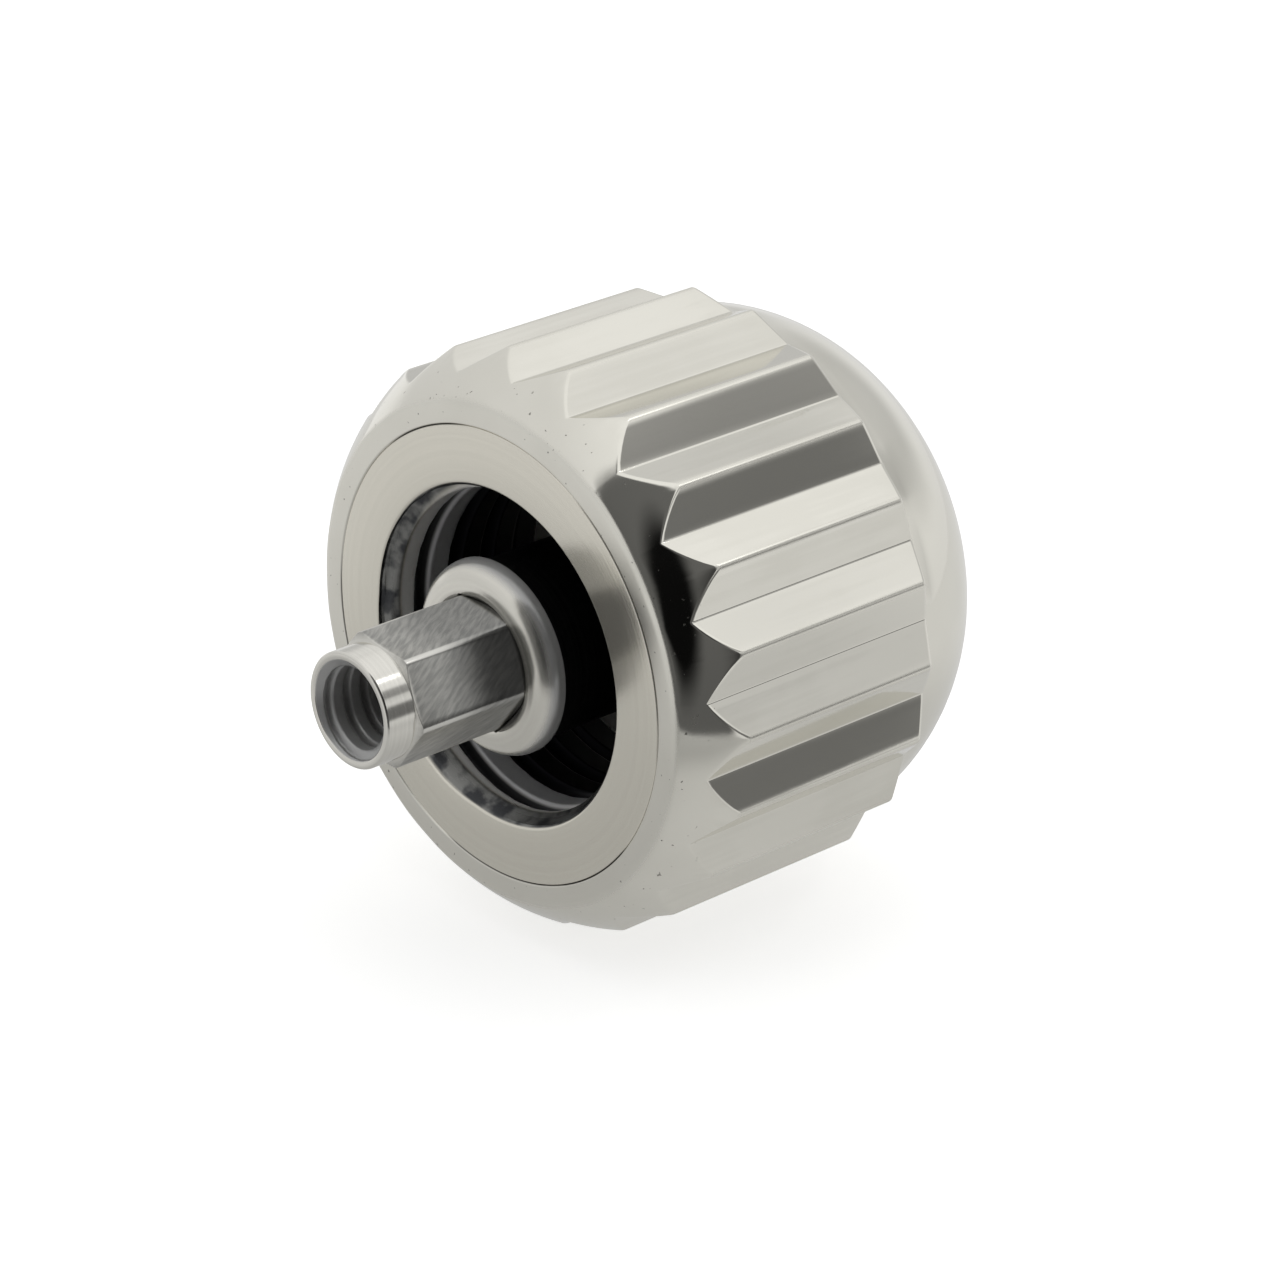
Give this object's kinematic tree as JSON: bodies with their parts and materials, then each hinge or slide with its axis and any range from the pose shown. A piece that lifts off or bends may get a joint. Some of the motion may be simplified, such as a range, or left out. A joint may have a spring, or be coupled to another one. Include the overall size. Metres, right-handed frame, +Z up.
{
  "type": "watch crown",
  "caption": "Screw-down fluted watch crown with a sprung hexagonal post, an inner case-tube thread and a sealing gasket",
  "frame": {"origin": "on the crown's axis, in the plane of the front ring face that seats towards the watch case", "axes": "+X outward along the axis, from the post to the dome; +Z up as the crown lies on two flute crests; a groove's middle faces straight down"},
  "size_m": [0.0076, 0.007, 0.007],
  "materials": {
    "polished_steel": "polished stainless steel, flutes and dome bright",
    "turned_steel": "fine-turned stainless steel, satin on the ring face",
    "tube_steel": "turned stainless steel, dark with oil and old grease",
    "collar_steel": "bright turned stainless steel",
    "post_steel": "ground flats with fine slanting scratches, bright turned nose",
    "spring_steel": "drawn spring wire",
    "black_rubber": "moulded nitrile rubber",
    "washer_steel": "stamped stainless steel"
  },
  "bodies": {
    "crown": {"crown_shell": "polished_steel", "threaded_core": "turned_steel", "guide_tube": "tube_steel", "retaining_collar": "collar_steel", "return_spring": "spring_steel", "main_gasket": "black_rubber", "gasket_washer": "washer_steel"},
    "post": {"stem_post": "post_steel"}
  },
  "joints": [
    {"name": "post_slide", "type": "slide", "parent": "crown", "child": "post", "axis": [1, 0, 0], "range_m": [0, 0.0011], "stiffness_N_per_m": 330, "springref_m": -0.0008, "deforming": ["return_spring"]}
  ]
}
